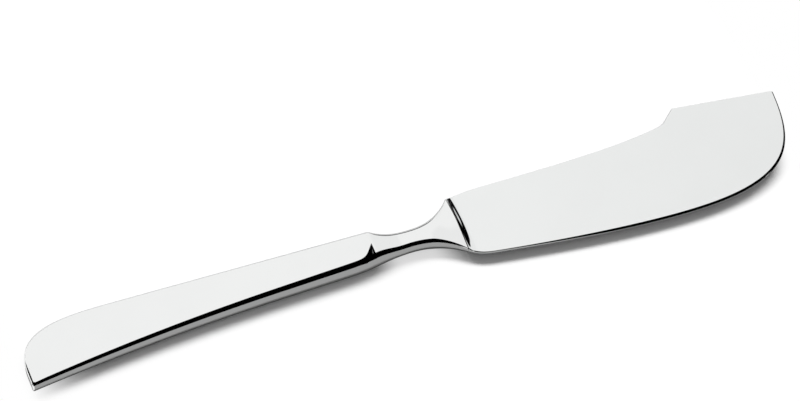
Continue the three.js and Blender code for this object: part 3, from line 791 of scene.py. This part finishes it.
def studio_light():
    """The room. To the camera it is white and to the floor an even grey light. The steel mirrors a wide white
    cloth, overhead and behind, and low down a light wall at each front corner and a dim one behind. The rest is
    dark."""
    world = bpy.data.worlds.new("studio")
    bpy.context.scene.world = world
    tree = new_tree(world)
    way = tree.node("ShaderNodeTexCoord", {}, {}, "Generated")
    front = np.array([np.sin(VIEW_AZIMUTH), -np.cos(VIEW_AZIMUTH), 0])
    right = np.array([np.cos(VIEW_AZIMUTH), np.sin(VIEW_AZIMUTH), 0])
    dot = {"operation": "DOT_PRODUCT"}
    up, ahead, aside = (tree.node("ShaderNodeVectorMath", dot, {0: way, 1: axis}, "Value")
                        for axis in ((0, 0, 1), front, right))
    left = 1 - aside.ramp(*CLOTH_LEFT)
    foot = left * (LEFT_LIFT * ahead.ramp(*LEFT_RISE) - LEFT_DROP)
    overhead = (1 - ahead.ramp(*CLOTH_FRONT)) * (up - foot).ramp(*CLOTH_FOOT)
    cloth = overhead * (1 - aside.ramp(*CLOTH_RIGHT)) * (1 - CLOTH_FADE * aside.ramp(*FADE_RIGHT))
    front_right = ahead.ramp(*RIGHT_WALL[0]) * aside.ramp(*RIGHT_WALL[1])
    front_left = ahead.ramp(*LEFT_WALL[0]) * (1 - aside.ramp(*LEFT_WALL[1]))
    behind = (1 - ahead.ramp(*BACK_WALL_FRONT)) * (1 - aside.ramp(*BACK_WALL_RIGHT))
    walls = FRONT_WALLS * (front_right + front_left) * (1 - up.ramp(*FRONT_WALL_TOP))
    walls = walls + BACK_WALL * behind * (1 - up.ramp(*BACK_WALL_TOP))
    path = tree.node("ShaderNodeLightPath", {}, {}, "Is Camera Ray")
    glossy = path.other("Is Glossy Ray")
    strength = path + glossy * (cloth + walls) + AMBIENT * (1 - path - glossy)
    sky = tree.node("ShaderNodeBackground", {}, {"Color": (1, 1, 1, 1), "Strength": strength})
    tree.node("ShaderNodeOutputWorld", {}, {"Surface": sky})


def lamp():
    """A long strip lamp high behind the knife, level with the picture, so that its shadow falls towards the
    camera."""
    light = bpy.data.lights.new("back_lamp", "AREA")
    light.shape = "RECTANGLE"
    light.size = LAMP_WIDTH
    light.size_y = LAMP_DEPTH
    light.energy = LAMP_POWER
    source = bpy.data.objects.new("back_lamp", light)
    bpy.context.scene.collection.objects.link(source)
    level = np.cos(LAMP_ELEVATION)
    back = Vector((-np.sin(VIEW_AZIMUTH) * level, np.cos(VIEW_AZIMUTH) * level, np.sin(LAMP_ELEVATION)))
    source.location = back * LAMP_DISTANCE
    source.rotation_euler = back.to_track_quat("Z", "Y").to_euler()
    source.visible_glossy = False


def floor():
    """A flat white floor. Its tones in the steel are painted by position: a painted reflection of white beyond
    the butt, painted shade of a duller grey in front and behind and of dark beyond the tip. To the camera it
    stays white farther off, and painted light makes it glow white past both ends and paler at the waist, lifting
    the shadow there so that it keeps to the handle's and the blade's near side."""
    material = bpy.data.materials.new("floor_white")
    tree = new_tree(material)
    at = tree.node("ShaderNodeTexCoord", {}, {}, "Object")
    x = tree.node("ShaderNodeSeparateXYZ", {}, {"Vector": at})
    end = X_TIP / 2000
    # Painted shade and painted reflection: glossy rays see the floor's colour set by position, grey in front,
    # lighter grey behind, dark beyond the tip and white beyond the butt, on top of the lamp's own light and
    # shadow.
    behind = x.other("Y").ramp(*GREY_START)
    painted_tone = PAINTED_SHADE_NEAR + (PAINTED_SHADE_BEHIND - PAINTED_SHADE_NEAR) * behind - PAINTED_SHADE_BEHIND * behind * x.ramp(*DARK_START)
    painted_tone = painted_tone + (1 - painted_tone) * (1 - x.ramp(-end - WHITE_LEFT, -end))
    painted_tone = painted_tone - (painted_tone - PAINTED_SHADE_RIGHT) * x.ramp(end - DARK_RIGHT[0], end - DARK_RIGHT[1])
    path = tree.node("ShaderNodeLightPath", {}, {}, "Is Glossy Ray")
    white, dark = (tree.node("ShaderNodeBsdfDiffuse", {}, {"Color": (c, c, c, 1)}) for c in (FLOOR_WHITE, 0))
    lit = tree.node("ShaderNodeMixShader", {}, {0: path * (1 - painted_tone), 1: white, 2: dark})
    # Painted light: the floor glows white to the camera past the butt and the tip, and partly at the waist,
    # lifting the knife's shadow there; farther off it glows evenly white.
    butt = 1 - x.ramp(-end - PAINTED_LIGHT_BUTT[0], -end + PAINTED_LIGHT_BUTT[1])
    painted_light_ends = butt * butt + x.ramp(end - PAINTED_LIGHT_TIP[0], end - PAINTED_LIGHT_TIP[1])
    before, after = ((run[0] - end, run[1] - end) for run in PAINTED_LIGHT_WAIST)
    waist = x.ramp(*before) * (1 - x.ramp(*after))
    away = tree.node("ShaderNodeVectorMath", {"operation": "LENGTH"}, {0: at}, "Value")
    near = 1 - away.ramp(*WHITE_FAR)
    shown = 1 - near * (1 - painted_light_ends - PAINTED_LIGHT_WAIST_SHARE * waist)
    glow = tree.node("ShaderNodeEmission", {}, {"Color": (1, 1, 1, 1), "Strength": 1.0})
    surface = tree.node("ShaderNodeMixShader", {}, {0: path.other("Is Camera Ray") * shown, 1: lit, 2: glow})
    tree.node("ShaderNodeOutputMaterial", {}, {"Surface": surface})
    edge = np.linspace(-FLOOR_SIZE, FLOOR_SIZE, 9)
    x, y = np.meshgrid(edge, edge, indexing="ij")
    mesh = bpy.data.meshes.new("floor")
    index = np.arange(x.size).reshape(x.shape)
    mesh.from_pydata(np.stack([x, y, 0 * x], axis=-1).reshape(-1, 3), [], grid_faces(index)[:, ::-1])
    mesh.materials.append(material)
    ground = bpy.data.objects.new("floor", mesh)
    bpy.context.scene.collection.objects.link(ground)


def camera():
    """A long lens from the photograph's side and height."""
    lens = bpy.data.cameras.new("camera")
    lens.sensor_width = SENSOR_WIDTH
    lens.lens = LENS_LENGTH
    lens.clip_end = VIEW_END
    view = bpy.data.objects.new("camera", lens)
    bpy.context.scene.collection.objects.link(view)
    level = np.cos(VIEW_ELEVATION)
    back = Vector((np.sin(VIEW_AZIMUTH) * level, -np.cos(VIEW_AZIMUTH) * level, np.sin(VIEW_ELEVATION)))
    view.location = Vector(place(VIEW_POINT)[0]) + back * VIEW_DISTANCE
    view.rotation_euler = back.to_track_quat("Z", "Y").to_euler()
    bpy.context.scene.camera = view


polished = steel("polished_steel", (0.865, 0.873, 0.868), 0.03, 0.03, (40, 2500, 2500))
ground_steel = steel("ground_steel", (0.85, 0.862, 0.856), 0.035, 0.03, (2500, 60, 2500))
braze = steel("silver_braze", (0.86, 0.862, 0.85), 0.05, 0.05, (300, 300, 300))

handle_shell("upper_shell", 1, polished)
handle_shell("lower_shell", -1, polished)
seam_strip(braze)
mouth_ring(braze)
neck_run = np.linspace(X_JOINT, X_CROWN, NECK_POINTS)
crown_run = np.linspace(X_CROWN, X_SHOULDER - SHOULDER_BRAZE, CROWN_POINTS)
shoulder_run = np.linspace(X_SHOULDER - SHOULDER_BRAZE, X_SHOULDER, SHOULDER_POINTS)
neck_piece("neck", np.concatenate([neck_run, crown_run[1:]]), polished, "polished_steel", "bolster_neck")
neck_piece("shoulder_line", shoulder_run, braze, "silver_braze", "shoulder_braze")
blade_leaf(ground_steel)
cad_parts["handle_filler"].data.materials.clear()
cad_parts["handle_filler"].data.materials.append(cement())

studio_light()
lamp()
floor()
camera()
bpy.context.scene.view_settings.view_transform = "Standard"
